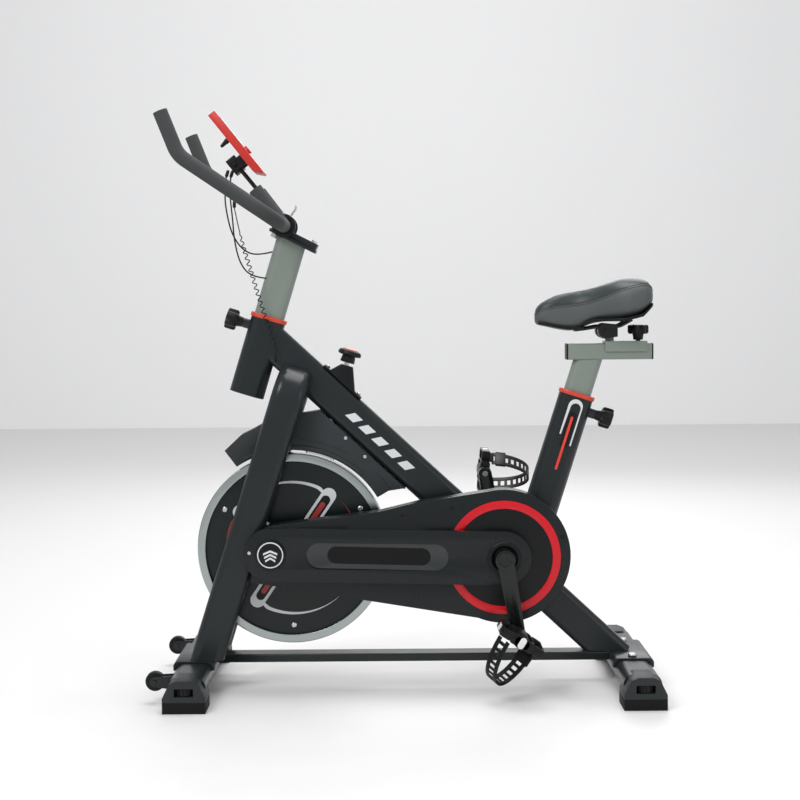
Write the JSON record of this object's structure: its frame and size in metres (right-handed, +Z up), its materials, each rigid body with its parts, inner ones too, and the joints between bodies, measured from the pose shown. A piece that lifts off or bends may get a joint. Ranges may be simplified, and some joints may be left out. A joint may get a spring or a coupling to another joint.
{
  "type": "indoor spin bike",
  "caption": "Stationary exercise bike with a covered belt drive, a rimmed flywheel, sliding posts for bars and saddle, strapped pedals, a tilting display and a push-down brake knob.",
  "frame": {"origin": "on the floor under the middle of the length and the width", "axes": "-X is the way the rider faces, -Y is the rider's left side with the belt guard, +Z is up"},
  "size_m": [1.018, 0.49, 1.1657],
  "materials": {
    "frame_paint": "satin charcoal black powder coat",
    "post_paint": "satin grey green powder coat",
    "collar_red": "matt orange red moulding",
    "console_red": "satin coral red moulding",
    "ring_red": "gloss red trim",
    "guard_plastic": "satin charcoal moulding",
    "fender_plastic": "matt dark grey moulding",
    "black_plastic": "matt black moulding",
    "cap_plastic": "matt dark grey moulding",
    "rim_chrome": "polished and plated rim",
    "disc_paint": "dark green black enamel",
    "zinc": "bright zinc",
    "steel_dark": "dark oiled steel",
    "grip_foam": "dense black foam sleeve",
    "crank_black": "gloss black enamel",
    "wheel_rubber": "hard black rubber",
    "belt_rubber": "ribbed black belt",
    "saddle_vinyl": "soft grained charcoal vinyl",
    "cord_black": "black cord jacket"
  },
  "bodies": {
    "frame": {"main_tube": "frame_paint", "head_sleeve": "frame_paint", "seat_sleeve": "frame_paint", "sleeve_collars": "collar_red", "front_legs": "frame_paint", "side_stays": "frame_paint", "bottom_bracket": "steel_dark", "front_stabiliser": "frame_paint", "rear_stabiliser": "frame_paint", "stabiliser_brackets": "frame_paint", "tie_tube": "frame_paint", "end_caps": "cap_plastic", "flywheel_axle": "zinc", "drive_belt": "belt_rubber", "belt_guard_inner": "guard_plastic", "belt_guard_outer": "guard_plastic", "guard_ring": "ring_red", "guard_disc": "black_plastic", "stay_cover": "guard_plastic", "cover_cap": "black_plastic", "flywheel_fender": "fender_plastic", "brake_housing": "black_plastic", "frame_bolts": "zinc"},
    "flywheel": {"flywheel_rim": "rim_chrome", "flywheel_disc": "disc_paint"},
    "crank": {"crank_axle": "steel_dark", "crank_arm_left": "crank_black", "crank_arm_right": "crank_black", "pedal_spindles": "zinc"},
    "left_pedal": {"pedal_left": "black_plastic"},
    "right_pedal": {"pedal_right": "black_plastic"},
    "brake": {"brake_rod": "zinc"},
    "brake_knob": {"tension_knob": "collar_red"},
    "head_lock": {"head_pin": "black_plastic"},
    "seat_lock": {"seat_pin": "black_plastic"},
    "handlebar_mast": {"handlebar_post": "post_paint", "handlebar_plates": "frame_paint", "handlebar": "grip_foam", "centre_grips": "grip_foam", "clamp_bolts": "zinc", "console_bracket": "black_plastic", "wire_upper": "cord_black", "wire_lower": "cord_black", "curly_cord": "cord_black"},
    "display": {"console": "console_red"},
    "display_button": {"console_button": "console_red"},
    "seat_mast": {"seat_post": "post_paint", "seat_rail": "post_paint", "rail_caps": "black_plastic"},
    "carriage": {"seat_carriage": "post_paint"},
    "carriage_knob": {"rail_knob": "black_plastic"},
    "saddle": {"saddle_pad": "saddle_vinyl", "saddle_base": "black_plastic", "saddle_rails": "crank_black"},
    "left_wheel": {"wheel_left": "wheel_rubber"},
    "right_wheel": {"wheel_right": "wheel_rubber"},
    "front_left_dial": {"dial_front_left": "black_plastic"},
    "front_right_dial": {"dial_front_right": "black_plastic"},
    "rear_left_dial": {"dial_rear_left": "black_plastic"},
    "rear_right_dial": {"dial_rear_right": "black_plastic"}
  },
  "joints": [
    {"name": "flywheel_spin", "type": "hinge", "parent": "frame", "child": "flywheel", "pos_m": [-0.227, 0, 0.2815], "axis": [0, 1, 0], "continuous": true},
    {"name": "crank_turn", "type": "hinge", "parent": "frame", "child": "crank", "pos_m": [0.1995, 0, 0.273], "axis": [0, 1, 0], "continuous": true},
    {"name": "left_pedal_turn", "type": "hinge", "parent": "crank", "child": "left_pedal", "pos_m": [0.22435, 0, 0.12913], "axis": [0, 1, 0], "continuous": true},
    {"name": "right_pedal_turn", "type": "hinge", "parent": "crank", "child": "right_pedal", "pos_m": [0.17465, 0, 0.41687], "axis": [0, 1, 0], "continuous": true},
    {"name": "brake_press", "type": "slide", "parent": "frame", "child": "brake", "axis": [0.2874, 0, 0.9578], "range_m": [-0.0025, 0], "stiffness_N_per_m": 2000, "springref_m": 0.005},
    {"name": "tension_turn", "type": "hinge", "parent": "brake", "child": "brake_knob", "pos_m": [-0.10916, 0, 0.6742], "axis": [0.2874, 0, 0.9578], "range_deg": [-720, 720]},
    {"name": "head_pin_pull", "type": "slide", "parent": "frame", "child": "head_lock", "axis": [-0.9563, 0, 0.2924], "range_m": [0, 0.01], "stiffness_N_per_m": 800, "springref_m": -0.008},
    {"name": "seat_pin_pull", "type": "slide", "parent": "frame", "child": "seat_lock", "axis": [0.9532, 0, -0.3024], "range_m": [0, 0.01], "stiffness_N_per_m": 800, "springref_m": -0.008},
    {"name": "handlebar_height", "type": "slide", "parent": "frame", "child": "handlebar_mast", "axis": [0.2924, 0, 0.9563], "range_m": [-0.05, 0.12], "deforming": ["curly_cord"]},
    {"name": "seat_height", "type": "slide", "parent": "frame", "child": "seat_mast", "axis": [0.3024, 0, 0.9532], "range_m": [-0.045, 0.13]},
    {"name": "carriage_slide", "type": "slide", "parent": "seat_mast", "child": "carriage", "axis": [1, 0, 0], "range_m": [-0.07, 0.01]},
    {"name": "carriage_knob_turn", "type": "hinge", "parent": "carriage", "child": "carriage_knob", "pos_m": [0.4805, 0, 0.7245], "axis": [0, 0, 1], "range_deg": [-720, 720]},
    {"name": "saddle_tilt", "type": "hinge", "parent": "carriage", "child": "saddle", "pos_m": [0.411, 0, 0.722], "axis": [0, 1, 0], "range_deg": [-8, 8]},
    {"name": "display_tilt", "type": "hinge", "parent": "handlebar_mast", "child": "display", "pos_m": [-0.335, 0, 1.061], "axis": [0, 1, 0], "range_deg": [-12, 12]},
    {"name": "display_button_press", "type": "slide", "parent": "display", "child": "display_button", "axis": [-0.7826, 0, -0.6225], "range_m": [0, 0.0012], "stiffness_N_per_m": 600, "springref_m": -0.0005},
    {"name": "left_wheel_roll", "type": "hinge", "parent": "frame", "child": "left_wheel", "pos_m": [-0.49, -0.16, 0.0445], "axis": [0, 1, 0], "continuous": true},
    {"name": "right_wheel_roll", "type": "hinge", "parent": "frame", "child": "right_wheel", "pos_m": [-0.49, 0.16, 0.0445], "axis": [0, 1, 0], "continuous": true},
    {"name": "front_left_dial_turn", "type": "hinge", "parent": "frame", "child": "front_left_dial", "pos_m": [-0.424, -0.226, 0.0405], "axis": [0, 0, 1], "range_deg": [-360, 360]},
    {"name": "front_right_dial_turn", "type": "hinge", "parent": "frame", "child": "front_right_dial", "pos_m": [-0.424, 0.226, 0.0405], "axis": [0, 0, 1], "range_deg": [-360, 360]},
    {"name": "rear_left_dial_turn", "type": "hinge", "parent": "frame", "child": "rear_left_dial", "pos_m": [0.46, -0.226, 0.0405], "axis": [0, 0, 1], "range_deg": [-360, 360]},
    {"name": "rear_right_dial_turn", "type": "hinge", "parent": "frame", "child": "rear_right_dial", "pos_m": [0.46, 0.226, 0.0405], "axis": [0, 0, 1], "range_deg": [-360, 360]}
  ],
  "couplings": [
    {"joint": "crank_turn", "follows": "flywheel_spin", "ratio": 0.30093}
  ]
}
